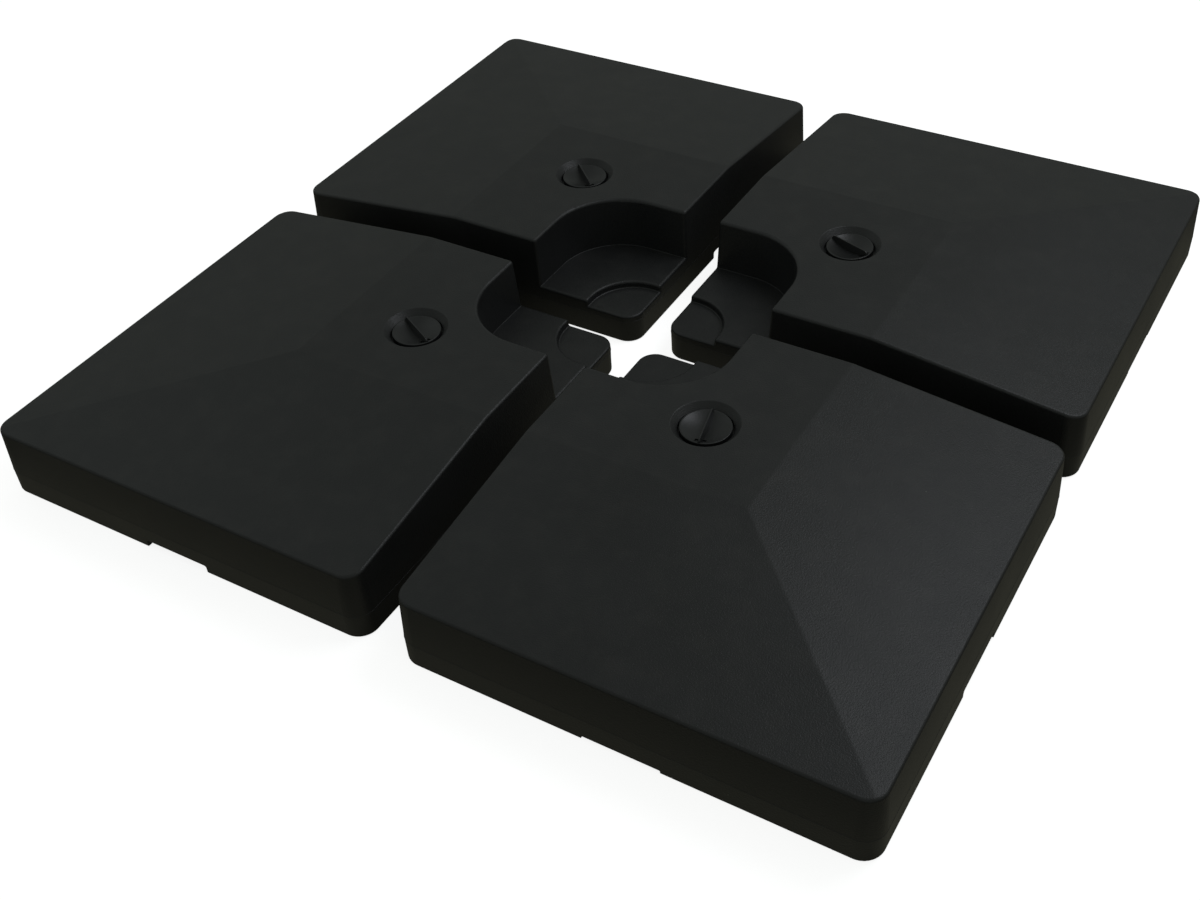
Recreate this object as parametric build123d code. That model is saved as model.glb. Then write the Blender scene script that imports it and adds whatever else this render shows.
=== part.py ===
from build123d import *

import os
from math import atan, degrees, hypot

# The base weight of a cantilever parasol: four identical hollow tanks laid two by two around
# the open cross where the parasol's foot stands, each filled with sand through a screw cap.
# Millimetres, +Z up, origin on the ground at the centre of the cross. Each tank is drawn once
# about its own centre, with its inner corner at -X -Y and its outer corner at +X +Y, and then
# turned into its quarter.

# ---- tank: outside ----
TANK_SIDE = 500.0  # widest size, at the parting line
CROSS_GAP = 41.0  # between neighbouring tanks at the parting line
PARTING_HEIGHT = 30.0
EDGE_HEIGHT = 84.0  # the top face's height at the outer sides
PLATEAU_HEIGHT = 111.5
APEX = 8.5  # the plateau ends this far outward of the tank's centre, on both axes
UPPER_LEAN = 0.04  # lean of the walls above the parting line, sideways per unit of height
LOWER_LEAN = 0.01  # and below it
CORNER_RADIUS = 22.0  # upright corners
TOP_ROUND = 3.5
BOTTOM_ROUND = 3.0
INNER_ROUND = 1.0  # the least rounding on the inside of the shell
CREASE_ROUND = 20.0  # along the three creases of the top

# ---- tank: stepped recess in the inner corner ----
RECESS_SIDE = 137.5  # from the inner sides to the recess wall, at the plateau
RECESS_RADIUS = 80.0
RECESS_LEAN = 0.06
RECESS_ROUND = 4.0
SHELF_HEIGHT = 46.5
STEP_SIDE = 70.5  # from the inner sides to the small step
STEP_RADIUS = 55.0
STEP_HEIGHT = 38.0
STEP_ROUND = 3.0
RECESS_FOOT = 0.7  # rounding where the recess wall meets the shelf
STEP_FOOT = 1.5  # and where the step meets the lower shelf

# ---- tank: channels across the underside ----
CHANNEL_WIDTH = 84.0
SHALLOW_CHANNEL = 5.5  # depth of the channel along X
DEEP_CHANNEL = 11.0  # depth of the channel along Y
CHANNEL_ROUND = 0.25  # radius of its mouth and ceiling corners, as a share of its depth

# ---- tank: shell and filler neck ----
SHELL_WALL = 3.5
NECK_PLACE = -86.0  # the neck's axis, on both of the tank's own axes
WELL_TOP_RADIUS = 37.0
WELL_THROAT_RADIUS = 30.0
WELL_THROAT_HEIGHT = 104.5
WELL_LIP = 1.5  # rounding where the well meets the plateau
SEAT_HEIGHT = 99.0  # floor of the well
NECK_BORE_RADIUS = 22.6
NECK_WALL = 3.0
NECK_BOTTOM = 80.5

# ---- screw thread of the cap and neck ----
PITCH = 4.0
TURNS = 2.5
RIDGE_ROOT = 2.0  # width of a ridge where it leaves its wall
RIDGE_CREST = 1.0
CAP_THREAD_HEIGHT = 1.4
NECK_THREAD_HEIGHT = 1.6
CAP_THREAD_START = 84.5
NECK_THREAD_START = CAP_THREAD_START + PITCH / 2
RIDGE_BITE = 0.3  # how deep a ridge is sunk into its wall

# ---- filler cap ----
FLANGE_RADIUS = 27.9
FLANGE_BOTTOM = 101.55
RIM_HEIGHT = 107.2
RIM_WIDTH = 1.6
RIM_ROUND = 0.7
DISH_BOTTOM = 101.2
STEM_RADIUS = 20.9
STEM_WALL = 2.5
STEM_BOTTOM = 82.5
STEM_ROOF = 98.2  # underside of the dish, inside the stem
RIB_TOP = 111.5
RIB_LENGTH = 54.6
RIB_CREST_WIDTH = 1.4
RIB_FOOT_WIDTH = 5.6
RIB_END_ROUND = 5.0
RIB_EDGE_ROUND = 0.4
RIB_SINK = 0.5  # how deep the rib is sunk into the dish and the stem
POCKET_LENGTH = 7.0  # the finger pocket across one end of the rib
POCKET_WIDTH = 12.0
POCKET_PLACE = 21.5  # its middle, from the cap's axis
POCKET_FLOOR = 102.7

# ---- seal washer and sand ----
SEAL_INNER_RADIUS = 23.0
SEAL_OUTER_RADIUS = 27.5
SEAL_GAP = 0.02  # below and above the washer
FILL_HEIGHT = 78.0
FILL_GAP = 0.1  # between the sand and the shell

HIGH = 170.0  # above everything
FAR = 400.0  # beyond everything
PAST = 1.0  # how far a cutter runs past what it cuts
NEAR = 12.0  # an edge this near to a side or a wall belongs to it
TOUCH = 0.1  # anything nearer than this touches


def leaning_block(side, radius, bottom, top, lean):
    """A rounded square block whose sides lean in as they rise."""
    outline = Pos(0, 0, bottom) * RectangleRounded(side, side, radius)
    return extrude(outline, amount=top - bottom, taper=degrees(atan(lean)))


def walls(inset):
    """The space inside the upper walls, carried on upwards past the top."""
    side = TANK_SIDE - 2 * inset
    return leaning_block(side, CORNER_RADIUS - inset, PARTING_HEIGHT, HIGH, UPPER_LEAN)


def roof(inset):
    """All that lies below the plateau and the two sloping top faces, with soft creases."""
    fall = (PLATEAU_HEIGHT - EDGE_HEIGHT) / (TANK_SIDE / 2 - APEX)
    top = PLATEAU_HEIGHT - inset
    apex = APEX - inset * (hypot(1, fall) - 1) / fall
    profile = make_face(Polyline(
        (-FAR, 0),
        (-FAR, top),
        (apex, top),
        (FAR, top - fall * (FAR - apex)),
        (FAR, 0),
        close=True,
    ))
    along_y = extrude(Plane.XZ * profile, amount=FAR, both=True)
    along_x = extrude(Plane.YZ * profile, amount=FAR, both=True)
    block = along_x & along_y
    peak = Vector(apex, apex, top)
    creases = [e for e in block.edges() if min((e @ 0 - peak).length, (e @ 1 - peak).length) < TOUCH]
    return fillet(creases, CREASE_ROUND)


def rim_edges(block, inset):
    """The edges between the upright walls and the top."""
    reach = TANK_SIDE / 2 - inset - NEAR
    edges = []
    for edge in block.edges():
        middle = edge @ 0.5
        upright = abs((edge @ 1 - edge @ 0).Z) > edge.length / 2
        outside = max(abs(middle.X), abs(middle.Y)) > reach
        if outside and not upright and middle.Z > (PARTING_HEIGHT + EDGE_HEIGHT) / 2:
            edges.append(edge)
    return edges


def tank_body(inset):
    """The tank before anything is cut out of it."""
    upper = walls(inset) & roof(inset)
    upper = fillet(rim_edges(upper, inset), max(TOP_ROUND - inset, INNER_ROUND))
    foot_side = TANK_SIDE - 2 * inset - 2 * LOWER_LEAN * (PARTING_HEIGHT - inset)
    radius = CORNER_RADIUS - inset - LOWER_LEAN * (PARTING_HEIGHT - inset)
    lower = leaning_block(foot_side, radius, inset, PARTING_HEIGHT, -LOWER_LEAN)
    floor = lower.faces().sort_by(Axis.Z)[0]
    lower = fillet(floor.edges(), max(BOTTOM_ROUND - inset, INNER_ROUND))
    return upper + lower


def corner_cutter(side, radius, floor, foot_round):
    """A block standing over the tank's inner corner, to cut a recess down to its floor."""
    reach = side - RECESS_LEAN * (PLATEAU_HEIGHT - floor)
    middle = -TANK_SIDE / 2 + reach - FAR / 2
    cutter = Pos(middle, middle, 0) * leaning_block(FAR, radius, floor, HIGH, -RECESS_LEAN)
    bottom = cutter.faces().sort_by(Axis.Z)[0]
    return fillet(bottom.edges(), foot_round)


def edges_along(block, side, floor, top):
    """The edges where a recess wall comes out through the face above it and the inner sides."""
    wall = -TANK_SIDE / 2 + side
    edges = []
    for edge in block.edges():
        middle = edge @ 0.5
        low, high = sorted(((edge @ 0).Z, (edge @ 1).Z))
        near, far = sorted((middle.X, middle.Y))
        if far > wall + TOUCH or low < floor - TOUCH or high > top + TOUCH:
            continue
        on_top = low > top - TOUCH
        down_side = near < -TANK_SIDE / 2 + NEAR and far > wall - NEAR and high > low + TOUCH
        if on_top or down_side:
            edges.append(edge)
    return edges


def cut_recess(block):
    """The recess in the inner corner, with its small step, and their rounded edges."""
    block -= corner_cutter(RECESS_SIDE, RECESS_RADIUS, SHELF_HEIGHT, RECESS_FOOT)
    block = fillet(edges_along(block, RECESS_SIDE, SHELF_HEIGHT, PLATEAU_HEIGHT), RECESS_ROUND)
    block -= corner_cutter(STEP_SIDE, STEP_RADIUS, STEP_HEIGHT, STEP_FOOT)
    return fillet(edges_along(block, STEP_SIDE, STEP_HEIGHT, SHELF_HEIGHT), STEP_ROUND)


def channel(plane, depth, inset):
    """A channel right across the underside, with a flared mouth and rounded ceiling corners."""
    radius = CHANNEL_ROUND * depth
    width = CHANNEL_WIDTH + 2 * inset
    top = depth + inset
    outline = Pos(0, top / 2 - FAR / 2) * RectangleRounded(width, FAR + top, radius + inset)
    mouth = Rectangle(width + 2 * radius, 2 * radius)
    for side in (-1, 1):
        mouth -= Pos(side * (width / 2 + radius), radius) * Circle(radius)
    outline += mouth
    return extrude(plane * outline, amount=FAR, both=True)


def channels(inset):
    along_x = channel(Plane.YZ, SHALLOW_CHANNEL, inset)
    along_y = channel(Plane.XZ, DEEP_CHANNEL, inset)
    return along_x + along_y


def upright_cylinder(radius, bottom, top):
    return Pos(0, 0, bottom) * extrude(Circle(radius), amount=top - bottom)


def at_neck(shape):
    return Pos(NECK_PLACE, NECK_PLACE, 0) * shape


def turned(*points):
    """The solid swept by an outline of radius and height points turned about the upright axis."""
    return revolve(Plane.XZ * make_face(Polyline(*points, close=True)), axis=Axis.Z)


def well():
    return turned(
        (0, SEAT_HEIGHT),
        (WELL_THROAT_RADIUS, SEAT_HEIGHT),
        (WELL_THROAT_RADIUS, WELL_THROAT_HEIGHT),
        (WELL_TOP_RADIUS, PLATEAU_HEIGHT),
        (WELL_TOP_RADIUS, HIGH),
        (0, HIGH),
    )


def cavity(inset):
    """The space inside a shell of the given thickness."""
    space = tank_body(inset)
    recess_floor = SHELF_HEIGHT - inset
    step_floor = STEP_HEIGHT - inset
    space -= corner_cutter(RECESS_SIDE + inset, RECESS_RADIUS + inset, recess_floor, RECESS_FOOT)
    space -= corner_cutter(STEP_SIDE + inset, STEP_RADIUS + inset, step_floor, STEP_FOOT)
    space -= channels(inset)
    neck_radius = NECK_BORE_RADIUS + NECK_WALL
    space -= at_neck(upright_cylinder(WELL_TOP_RADIUS + inset, SEAT_HEIGHT - inset, HIGH))
    space -= at_neck(upright_cylinder(neck_radius, NECK_BOTTOM, HIGH))
    return space


def thread_ridge(wall_radius, height, start):
    """A ridge of the screw thread; a positive height stands outward from its wall."""
    bite = -RIDGE_BITE if height > 0 else RIDGE_BITE
    path = Pos(0, 0, start) * Helix(PITCH, PITCH * TURNS, wall_radius)
    outline = make_face(Polyline(
        (bite, -RIDGE_ROOT / 2),
        (height, -RIDGE_CREST / 2),
        (height, RIDGE_CREST / 2),
        (bite, RIDGE_ROOT / 2),
        close=True,
    ))
    frame = Plane(path @ 0, x_dir=(1, 0, 0), z_dir=path % 0)
    return sweep(frame * outline, path=path, is_frenet=True)


def tank():
    shell = cut_recess(tank_body(0)) - channels(0) - at_neck(well())
    lips = [e for e in shell.edges() if e.geom_type == GeomType.CIRCLE]
    lips = [e for e in lips if abs(e.radius - WELL_TOP_RADIUS) < 0.01 and (e @ 0).Z > EDGE_HEIGHT]
    shell = fillet(lips, WELL_LIP)
    shell -= cavity(SHELL_WALL)
    shell -= at_neck(upright_cylinder(NECK_BORE_RADIUS, NECK_BOTTOM - PAST, SEAT_HEIGHT + PAST))
    shell += at_neck(thread_ridge(NECK_BORE_RADIUS, -NECK_THREAD_HEIGHT, NECK_THREAD_START))
    return shell


def ballast():
    layer = Pos(0, 0, FILL_HEIGHT / 2) * Box(TANK_SIDE, TANK_SIDE, FILL_HEIGHT)
    return cavity(SHELL_WALL + FILL_GAP) & layer


def seal():
    ring = upright_cylinder(SEAL_OUTER_RADIUS, SEAT_HEIGHT + SEAL_GAP, FLANGE_BOTTOM - SEAL_GAP)
    ring -= upright_cylinder(SEAL_INNER_RADIUS, SEAT_HEIGHT, FLANGE_BOTTOM)
    return at_neck(ring)


def filler_cap(rib_angle):
    """The screw cap; its thread starts are in mesh whatever way its rib points."""
    dish_edge = FLANGE_RADIUS - RIM_WIDTH
    rise = RIM_HEIGHT - DISH_BOTTOM
    dish_radius = (dish_edge ** 2 + rise ** 2) / (2 * rise)
    cap = turned(
        (0, STEM_ROOF),
        (STEM_RADIUS - STEM_WALL, STEM_ROOF),
        (STEM_RADIUS - STEM_WALL, STEM_BOTTOM),
        (STEM_RADIUS, STEM_BOTTOM),
        (STEM_RADIUS, FLANGE_BOTTOM),
        (FLANGE_RADIUS, FLANGE_BOTTOM),
        (FLANGE_RADIUS, RIM_HEIGHT),
        (0, RIM_HEIGHT),
    )
    cap = fillet(cap.edges().group_by(Axis.Z)[-1], RIM_ROUND)
    cap -= Pos(0, 0, DISH_BOTTOM + dish_radius) * Sphere(dish_radius)
    rib_section = make_face(Polyline(
        (-RIB_FOOT_WIDTH / 2, STEM_ROOF + RIB_SINK),
        (RIB_FOOT_WIDTH / 2, STEM_ROOF + RIB_SINK),
        (RIB_CREST_WIDTH / 2, RIB_TOP),
        (-RIB_CREST_WIDTH / 2, RIB_TOP),
        close=True,
    ))
    rib = extrude(Plane.YZ * rib_section, amount=RIB_LENGTH / 2, both=True)
    ends = rib.edges().filter_by(Axis.Y).group_by(Axis.Z)[-1]
    rib = fillet(ends, RIB_END_ROUND)
    crest = [e for e in rib.edges() if (e @ 0.5).Z > RIM_HEIGHT and abs((e @ 0.5).Y) > TOUCH]
    rib = fillet(crest, RIB_EDGE_ROUND)
    pocket = Pos(POCKET_PLACE, 0, POCKET_FLOOR) * Box(
        POCKET_LENGTH, POCKET_WIDTH, HIGH, align=(Align.CENTER, Align.CENTER, Align.MIN))
    cap -= pocket
    under_flange = upright_cylinder(FAR, 0, FLANGE_BOTTOM + RIB_SINK)
    under_flange -= upright_cylinder(STEM_RADIUS - RIB_SINK, 0, HIGH)
    cap += rib - under_flange
    cap = Rot(0, 0, rib_angle) * cap
    return cap + thread_ridge(STEM_RADIUS, CAP_THREAD_HEIGHT, CAP_THREAD_START)


def in_quarter(shape, angle):
    """A shape drawn in the tank's own place, moved out to a quarter and turned into it."""
    centre = (TANK_SIDE + CROSS_GAP) / 2
    return Rot(0, 0, angle) * Pos(centre, centre, 0) * shape


# each tank's turn about the upright axis, and its cap's, which were left pointing anyhow
QUARTERS = {
    "right": (0, -18),
    "back": (90, -132),
    "left": (180, 152),
    "front": (270, 12),
}

os.makedirs("parts", exist_ok=True)
one_tank = tank()
one_ballast = ballast()
one_seal = seal()
for name, (angle, rib_angle) in QUARTERS.items():
    one_cap = at_neck(filler_cap(rib_angle))
    export_step(in_quarter(one_tank, angle), f"parts/tank_{name}.step")
    export_step(in_quarter(one_ballast, angle), f"parts/ballast_{name}.step")
    export_step(in_quarter(one_seal, angle), f"parts/cap_seal_{name}.step")
    export_step(in_quarter(one_cap, angle), f"parts/filler_cap_{name}.step")
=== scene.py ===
from math import cos, radians, sin

import bpy
from mathutils import Matrix, Vector


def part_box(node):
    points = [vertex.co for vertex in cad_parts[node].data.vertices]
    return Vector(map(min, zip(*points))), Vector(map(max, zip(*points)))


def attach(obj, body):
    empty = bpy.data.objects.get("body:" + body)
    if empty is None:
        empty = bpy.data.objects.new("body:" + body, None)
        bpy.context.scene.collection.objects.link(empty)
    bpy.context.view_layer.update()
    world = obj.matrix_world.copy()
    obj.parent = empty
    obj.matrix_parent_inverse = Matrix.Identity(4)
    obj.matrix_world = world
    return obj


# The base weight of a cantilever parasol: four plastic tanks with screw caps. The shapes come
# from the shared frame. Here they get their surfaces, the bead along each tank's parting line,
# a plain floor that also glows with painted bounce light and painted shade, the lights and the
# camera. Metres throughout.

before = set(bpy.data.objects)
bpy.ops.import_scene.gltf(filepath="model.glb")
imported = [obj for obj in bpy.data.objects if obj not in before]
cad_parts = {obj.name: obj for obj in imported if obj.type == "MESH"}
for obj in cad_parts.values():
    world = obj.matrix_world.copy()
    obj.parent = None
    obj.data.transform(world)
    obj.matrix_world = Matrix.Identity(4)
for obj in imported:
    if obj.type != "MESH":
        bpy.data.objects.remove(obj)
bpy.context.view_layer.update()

QUARTERS = ("front", "left", "back", "right")
MM = 0.001

# ---- camera: where it stands and looks, in degrees and metres ----
CAMERA_AZIMUTH = 32.5
CAMERA_ELEVATION = 40.97
CAMERA_ROLL = -3.62
CAMERA_DISTANCE = 1.694
CAMERA_TARGET = Vector((0.0484, -0.1392, 0.0))
CAMERA_SENSOR = 36.0  # millimetres
CAMERA_LENS = 44.77
CAMERA_SHIFT = (-0.0157, -0.0088)

# ---- moulded plastic ----
# a scale is one over the size of the feature, in metres
TANK_LEVEL = 0.013  # how pale the plastic is
TANK_GLOSS = 0.44  # roughness
TANK_GRAIN = 0.32 * MM
CAP_LEVEL = 0.015
CAP_GLOSS = 0.38
CAP_GRAIN = 0.08 * MM
STIPPLE_SCALE = 620.0
CLOUD_SCALE = 9.0
SWELL_SCALE = 22.0
SWELL_STRENGTH = 0.25
SWELL_DEPTH = 0.6 * MM
CLOUD_DARKER = 0.88
CLOUD_PALER = 1.14
PLASTIC_WARMTH = -0.04
SMOOTHER = 0.03  # how far the roughness wanders below its middle
ROUGHER = 0.04  # and above it

# ---- dust and specks ----
DUST_SCALE = 34.0
DUST_DETAIL = 6.0
DUST_CONTRAST = 0.65
DUST_SHARE = 0.05
DUST_COLOUR = (0.16, 0.15, 0.13, 1.0)
DUST_LEVEL = (0.6, 1.0)  # a face this level or more starts to hold dust, and holds it fully
SPECK_SCALE = 55.0  # of the cells a speck may lie in
SPECK_CELLS = (0.90, 0.91)  # cells drawn above this hold a speck
SPECK_EDGE = (0.03, 0.02)  # from clear to covered, as a share of a cell
SPECK_COLOUR = (0.22, 0.22, 0.21, 1.0)

# ---- sand and rubber ----
GRAIN_SCALE = 900.0
SAND_PALE = (0.55, 0.42, 0.26, 1.0)
SAND_DARK = (0.24, 0.17, 0.10, 1.0)
SAND_DEPTH = 0.6 * MM
SAND_ROUGHNESS = 0.95
RUBBER_SCALE = 60.0
RUBBER_LEVELS = (0.010, 0.03)
RUBBER_DEPTH = 0.2 * MM
RUBBER_ROUGHNESS = 0.8

# ---- parting line: the bead where the two halves of the mould met ----
PARTING_HEIGHT = 30.0 * MM
BEAD_RADIUS = 0.35 * MM
BEAD_SINK = 0.15 * MM  # how far its middle lies inside the wall
BEAD_WAVER = 0.18  # how far its radius wanders, as a share of it
CORNER_RADIUS = 22.0 * MM
CORNER_STEPS = 10
BEAD_STEPS = 6

# ---- floor: what it shows the camera, and the painted bounce light and painted shade its glow throws on the object ----
FLOOR_SIZE = 30.0
FLOOR_PAINT = (0.6, 0.6, 0.6, 1.0)
FLOOR_GLOW = 0.86
# Painted bounce light: to everything but the camera the floor glows warm, in place of light bounced
# off it. Less is left under and between the tanks as painted shade, and more is added in the open
# middle as painted light.
PAINTED_BOUNCE_TONE = (0.98, 0.97, 0.74, 1.0)
PAINTED_BOUNCE_FAR = 0.07
PAINTED_BOUNCE_NEAR = 0.15  # close beside the object
PAINTED_SHADE_UNDER = 0.22  # share of that left under and between the tanks
PAINTED_BOUNCE_MIDDLE = 0.11  # added in the open middle of the cross
NEAR_BAND = (0.53, 0.60)  # distances from the centre, as squares, where near turns into far
UNDER_BAND = (0.50, 0.53)
MIDDLE_BAND = (0.10, 0.22)

# ---- light ----
SKY_COLOUR = (0.93, 1.0, 0.93)
SKY_STRENGTH = 0.235


def new_material(name):
    """An empty node material and its tree, with the output already there."""
    material = bpy.data.materials.new(name)
    material.use_nodes = True
    tree = material.node_tree
    tree.nodes.clear()
    output = tree.nodes.new("ShaderNodeOutputMaterial")
    return material, tree, output


def plug(tree, socket, value):
    """Links a node's output into a socket, or sets the socket to a plain value."""
    if isinstance(value, bpy.types.NodeSocket):
        tree.links.new(value, socket)
    else:
        socket.default_value = value


def add(tree, kind, settings=None, **inputs):
    """A node of a kind, with its settings and its inputs, named or numbered as i0, i1."""
    node = tree.nodes.new(kind)
    for key, value in (settings or {}).items():
        setattr(node, key, value)
    for key, value in inputs.items():
        numbered = key[0] == "i" and key[1:].isdigit()
        place = int(key[1:]) if numbered else key.replace("_", " ")
        plug(tree, node.inputs[place], value)
    return node


def maths(tree, operation, first, second):
    return add(tree, "ShaderNodeMath", {"operation": operation}, i0=first, i1=second).outputs[0]


def grey(level, warmth=0.0):
    """A near-neutral linear colour; positive warmth leans to brown, negative to blue."""
    return (level * (1 + warmth), level, level * (1 - warmth), 1.0)


def noise(tree, place, scale, detail=4.0, roughness=0.5):
    node = add(tree, "ShaderNodeTexNoise", Vector=place, Scale=scale, Detail=detail,
               Roughness=roughness)
    return node.outputs["Fac"]


def ramp(tree, value, start, end, start_out=0.0, end_out=1.0):
    """A straight ramp from one range to another, held at its ends."""
    node = add(tree, "ShaderNodeMapRange", {"clamp": True}, i0=value, i1=start, i2=end,
               i3=start_out, i4=end_out)
    return node.outputs[0]


def blend_colour(tree, share, first, second):
    node = add(tree, "ShaderNodeMix", {"data_type": "RGBA"}, i0=share, i6=first, i7=second)
    return node.outputs[2]


def bump(tree, height, strength, depth, over=None):
    """Normals raised by a height, on top of another bump if there is one."""
    node = add(tree, "ShaderNodeBump", Strength=strength, Distance=depth, Height=height)
    if over:
        plug(tree, node.inputs["Normal"], over)
    return node.outputs["Normal"]


def finish_material(material, tree, output, colour, roughness, normal):
    surface = add(tree, "ShaderNodeBsdfPrincipled", Base_Color=colour, Roughness=roughness,
                  Normal=normal)
    tree.links.new(surface.outputs[0], output.inputs[0])
    return material


def dust(tree, place, colour):
    """A colour with thin, patchy dust on whatever faces up."""
    geometry = add(tree, "ShaderNodeNewGeometry")
    upward = add(tree, "ShaderNodeSeparateXYZ", Vector=geometry.outputs["Normal"]).outputs["Z"]
    patches = noise(tree, place, DUST_SCALE, DUST_DETAIL, DUST_CONTRAST)
    flat = ramp(tree, upward, *DUST_LEVEL)
    thin = ramp(tree, patches, 0.45, 0.75, 0.0, DUST_SHARE)
    return blend_colour(tree, maths(tree, "MULTIPLY", flat, thin), colour, DUST_COLOUR)


def specks(tree, place, colour):
    """A colour with a pale speck in a few of the cells of a scattered pattern."""
    cell = add(tree, "ShaderNodeTexVoronoi", Vector=place, Scale=SPECK_SCALE)
    chosen = add(tree, "ShaderNodeSeparateColor", Color=cell.outputs["Color"]).outputs["Red"]
    few = ramp(tree, chosen, *SPECK_CELLS)
    small = ramp(tree, cell.outputs["Distance"], *SPECK_EDGE)
    return blend_colour(tree, maths(tree, "MULTIPLY", few, small), colour, SPECK_COLOUR)


def moulded_plastic(name, level, gloss, grain_depth):
    """Dark polyethylene: moulded stipple, faint flow clouding, a gentle swell and a little dust."""
    material, tree, output = new_material(name)
    place = add(tree, "ShaderNodeTexCoord").outputs["Object"]
    clouds = noise(tree, place, CLOUD_SCALE, 3.0)
    stipple = noise(tree, place, STIPPLE_SCALE, 1.5, 0.6)
    swell = noise(tree, place, SWELL_SCALE, 2.0)
    darker = grey(level * CLOUD_DARKER, PLASTIC_WARMTH)
    paler = grey(level * CLOUD_PALER, PLASTIC_WARMTH)
    colour = blend_colour(tree, ramp(tree, clouds, 0.35, 0.68), darker, paler)
    colour = specks(tree, place, dust(tree, place, colour))
    rough = ramp(tree, clouds, 0.3, 0.7, gloss - SMOOTHER, gloss + ROUGHER)
    grain = bump(tree, stipple, 1.0, grain_depth)
    wave = bump(tree, swell, SWELL_STRENGTH, SWELL_DEPTH, over=grain)
    return finish_material(material, tree, output, colour, rough, wave)


def sand_material():
    material, tree, output = new_material("dry_sand")
    place = add(tree, "ShaderNodeTexCoord").outputs["Object"]
    grains = add(tree, "ShaderNodeTexVoronoi", Vector=place, Scale=GRAIN_SCALE).outputs["Distance"]
    colour = blend_colour(tree, grains, SAND_PALE, SAND_DARK)
    normal = bump(tree, grains, 0.8, SAND_DEPTH)
    return finish_material(material, tree, output, colour, SAND_ROUGHNESS, normal)


def rubber_material():
    material, tree, output = new_material("seal_rubber")
    place = add(tree, "ShaderNodeTexCoord").outputs["Object"]
    bloom = noise(tree, place, RUBBER_SCALE)
    darker, paler = RUBBER_LEVELS
    colour = blend_colour(tree, bloom, grey(darker), grey(paler))
    normal = bump(tree, bloom, 0.3, RUBBER_DEPTH)
    return finish_material(material, tree, output, colour, RUBBER_ROUGHNESS, normal)


def dress(node, material):
    """Gives a CAD node its material."""
    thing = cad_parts[node]
    thing.data.materials.clear()
    thing.data.materials.append(material)


def rounded_square(low, high, radius):
    """Points and outward directions round a square with rounded corners, starting at +X +Y."""
    middles = (
        (high.x - radius, high.y - radius),
        (low.x + radius, high.y - radius),
        (low.x + radius, low.y + radius),
        (high.x - radius, low.y + radius),
    )
    for corner, (x, y) in enumerate(middles):
        for step in range(CORNER_STEPS + 1):
            angle = radians(90 * (corner + step / CORNER_STEPS))
            yield x + radius * cos(angle), y + radius * sin(angle), cos(angle), sin(angle)


def bead_mesh(name, outline):
    """A half-round bead along a closed outline, a little uneven as flash is."""
    points, faces = [], []
    for x, y, out_x, out_y in outline:
        uneven = 1 + BEAD_WAVER * sin(90 * x) * sin(70 * y + 1)
        for step in range(BEAD_STEPS + 1):
            angle = radians(180 * step / BEAD_STEPS - 90)
            reach = BEAD_RADIUS * uneven * cos(angle) - BEAD_SINK
            height = PARTING_HEIGHT + BEAD_RADIUS * sin(angle)
            points.append((x + reach * out_x, y + reach * out_y, height))
    ring = BEAD_STEPS + 1
    for place in range(len(outline)):
        here = place * ring
        after = (place + 1) % len(outline) * ring
        for step in range(ring):
            beside = (step + 1) % ring
            faces.append((here + step, after + step, after + beside, here + beside))
    mesh = bpy.data.meshes.new(name)
    mesh.from_pydata(points, [], faces)
    mesh.polygons.foreach_set("use_smooth", [True] * len(faces))
    return mesh


def parting_line(quarter, material):
    """The bead right round one tank, carried along with the tank."""
    low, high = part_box(f"tank_{quarter}")
    outline = list(rounded_square(low, high, CORNER_RADIUS))
    mesh = bead_mesh(f"parting_line_{quarter}", outline)
    mesh.materials.append(material)
    bead = bpy.data.objects.new(mesh.name, mesh)
    bpy.context.scene.collection.objects.link(bead)
    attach(bead, f"{quarter}_tank")


def floor_painted_bounce(tree):
    """Painted bounce light: how bright the floor glows to the object, by its distance from the
    object's centre; dimmed under and between the tanks as painted shade, raised in the open middle
    as painted light.
    """
    place = add(tree, "ShaderNodeTexCoord").outputs["Object"]
    away = add(tree, "ShaderNodeVectorMath", {"operation": "ABSOLUTE"}, i0=place).outputs[0]
    parts = add(tree, "ShaderNodeSeparateXYZ", Vector=away)
    farther = maths(tree, "MAXIMUM", parts.outputs["X"], parts.outputs["Y"])
    beside = ramp(tree, farther, *NEAR_BAND, PAINTED_BOUNCE_NEAR, PAINTED_BOUNCE_FAR)
    # painted shade under and between the tanks
    clear = ramp(tree, farther, *UNDER_BAND, PAINTED_SHADE_UNDER, 1.0)
    middle = add(tree, "ShaderNodeVectorMath", {"operation": "LENGTH"}, i0=place)
    # painted light in the open middle of the cross
    painted_middle_light = ramp(tree, middle.outputs["Value"], *MIDDLE_BAND, PAINTED_BOUNCE_MIDDLE, 0.0)
    return maths(tree, "ADD", maths(tree, "MULTIPLY", beside, clear), painted_middle_light)


def make_floor():
    """A plain white floor to the camera; to everything else it glows dim and warm, painted bounce
    light on the plastic.
    """
    bpy.ops.mesh.primitive_plane_add(size=FLOOR_SIZE, location=(0, 0, 0))
    floor = bpy.context.object
    floor.name = "floor"
    material, tree, output = new_material("floor_white_painted_bounce")
    shade = add(tree, "ShaderNodeBsdfDiffuse", Color=FLOOR_PAINT)
    glow = add(tree, "ShaderNodeEmission", Color=(1, 1, 1, 1), Strength=FLOOR_GLOW)
    shown = add(tree, "ShaderNodeAddShader", i0=shade.outputs[0], i1=glow.outputs[0])
    # painted bounce light: a warm glow the plastic sees in place of light off the floor, with
    # painted shade under the tanks
    bounce_glow = add(tree, "ShaderNodeEmission", Color=PAINTED_BOUNCE_TONE, Strength=floor_painted_bounce(tree))
    seen = add(tree, "ShaderNodeLightPath").outputs["Is Camera Ray"]
    both = add(tree, "ShaderNodeMixShader", i0=seen, i1=bounce_glow.outputs[0], i2=shown.outputs[0])
    tree.links.new(both.outputs[0], output.inputs[0])
    floor.data.materials.append(material)


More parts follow.
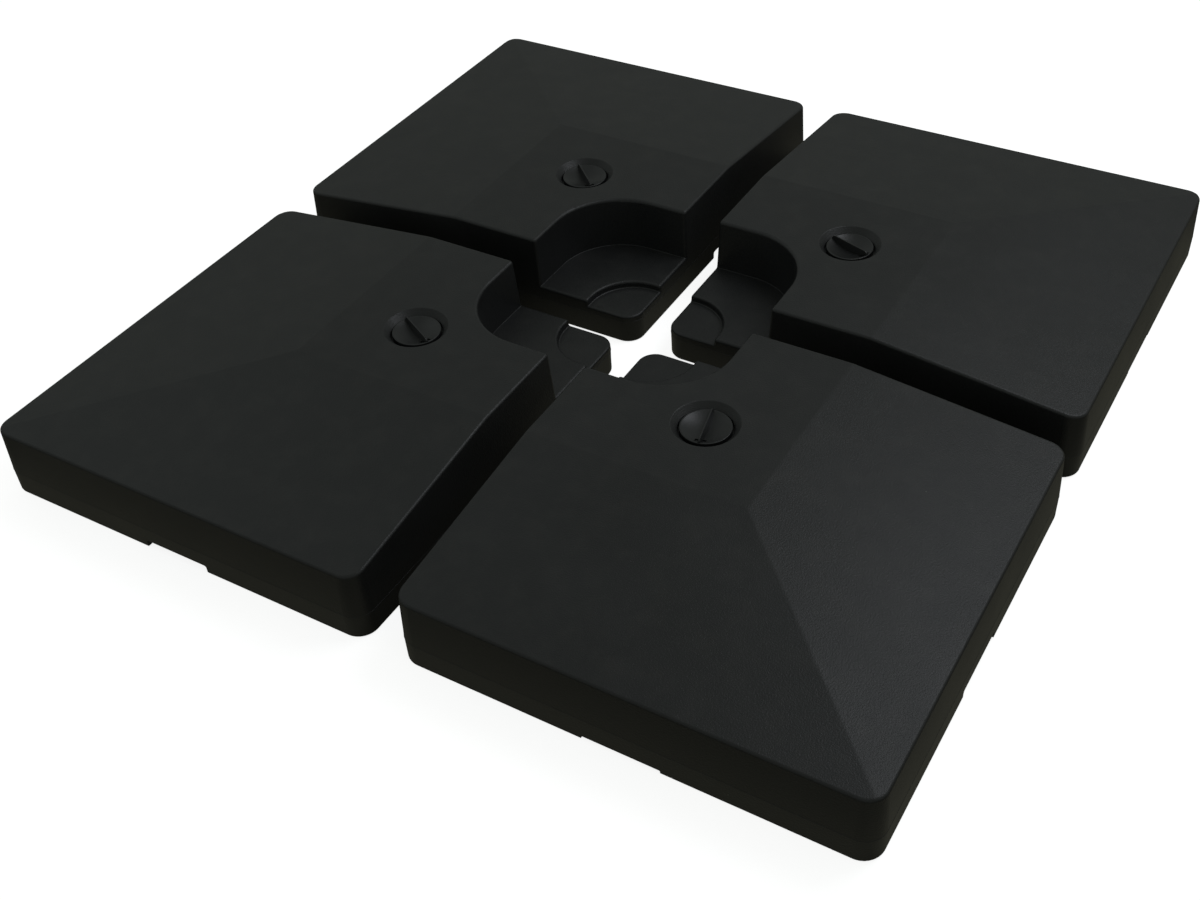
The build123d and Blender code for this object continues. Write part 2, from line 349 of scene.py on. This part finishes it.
def softbox(name, azimuth, elevation, power, colour, size, distance):
    """A square soft light aimed at the origin; azimuth turns from +X to +Y, in degrees."""
    a, e = radians(azimuth), radians(elevation)
    outward = Vector((cos(a) * cos(e), sin(a) * cos(e), sin(e)))
    light = bpy.data.lights.new(name, "AREA")
    light.shape = "SQUARE"
    light.size = size
    light.energy = power
    light.color = colour
    lamp = bpy.data.objects.new(name, light)
    lamp.location = outward * distance
    lamp.rotation_euler = (-outward).to_track_quat("-Z", "Y").to_euler()
    bpy.context.scene.collection.objects.link(lamp)


def make_world():
    world = bpy.data.worlds.new("studio")
    bpy.context.scene.world = world
    world.use_nodes = True
    background = world.node_tree.nodes["Background"]
    background.inputs[0].default_value = (*SKY_COLOUR, 1)
    background.inputs[1].default_value = SKY_STRENGTH


def make_camera():
    """The camera, level but for its roll; at azimuth 0 it looks along +Y."""
    a, e, r = radians(CAMERA_AZIMUTH), radians(CAMERA_ELEVATION), radians(CAMERA_ROLL)
    forward = Vector((-sin(a) * cos(e), cos(a) * cos(e), -sin(e)))
    level = forward.cross(Vector((0, 0, 1))).normalized()
    upright = level.cross(forward)
    right = cos(r) * level + sin(r) * upright
    up = -sin(r) * level + cos(r) * upright
    data = bpy.data.cameras.new("camera")
    data.sensor_width = CAMERA_SENSOR
    data.lens = CAMERA_LENS
    data.shift_x, data.shift_y = CAMERA_SHIFT
    camera = bpy.data.objects.new("camera", data)
    turn = Matrix((right, up, -forward)).transposed().to_4x4()
    camera.matrix_world = Matrix.Translation(CAMERA_TARGET - CAMERA_DISTANCE * forward) @ turn
    bpy.context.scene.collection.objects.link(camera)
    bpy.context.scene.camera = camera


# ---- the object ----
tank_plastic = moulded_plastic("tank_plastic", TANK_LEVEL, TANK_GLOSS, TANK_GRAIN)
cap_plastic = moulded_plastic("cap_plastic", CAP_LEVEL, CAP_GLOSS, CAP_GRAIN)
sand = sand_material()
rubber = rubber_material()
for quarter in QUARTERS:
    dress(f"tank_{quarter}", tank_plastic)
    dress(f"filler_cap_{quarter}", cap_plastic)
    dress(f"cap_seal_{quarter}", rubber)
    dress(f"ballast_{quarter}", sand)
    parting_line(quarter, tank_plastic)

# ---- the studio ----
make_floor()
make_world()
softbox("main_light", 42, 57, 8.5, (0.95, 0.98, 1.05), size=1.1, distance=2.2)
softbox("fill_light", 180, 45, 1.6, (0.9, 1.0, 1.0), size=1.6, distance=3.0)
make_camera()
bpy.context.scene.view_settings.view_transform = "Standard"
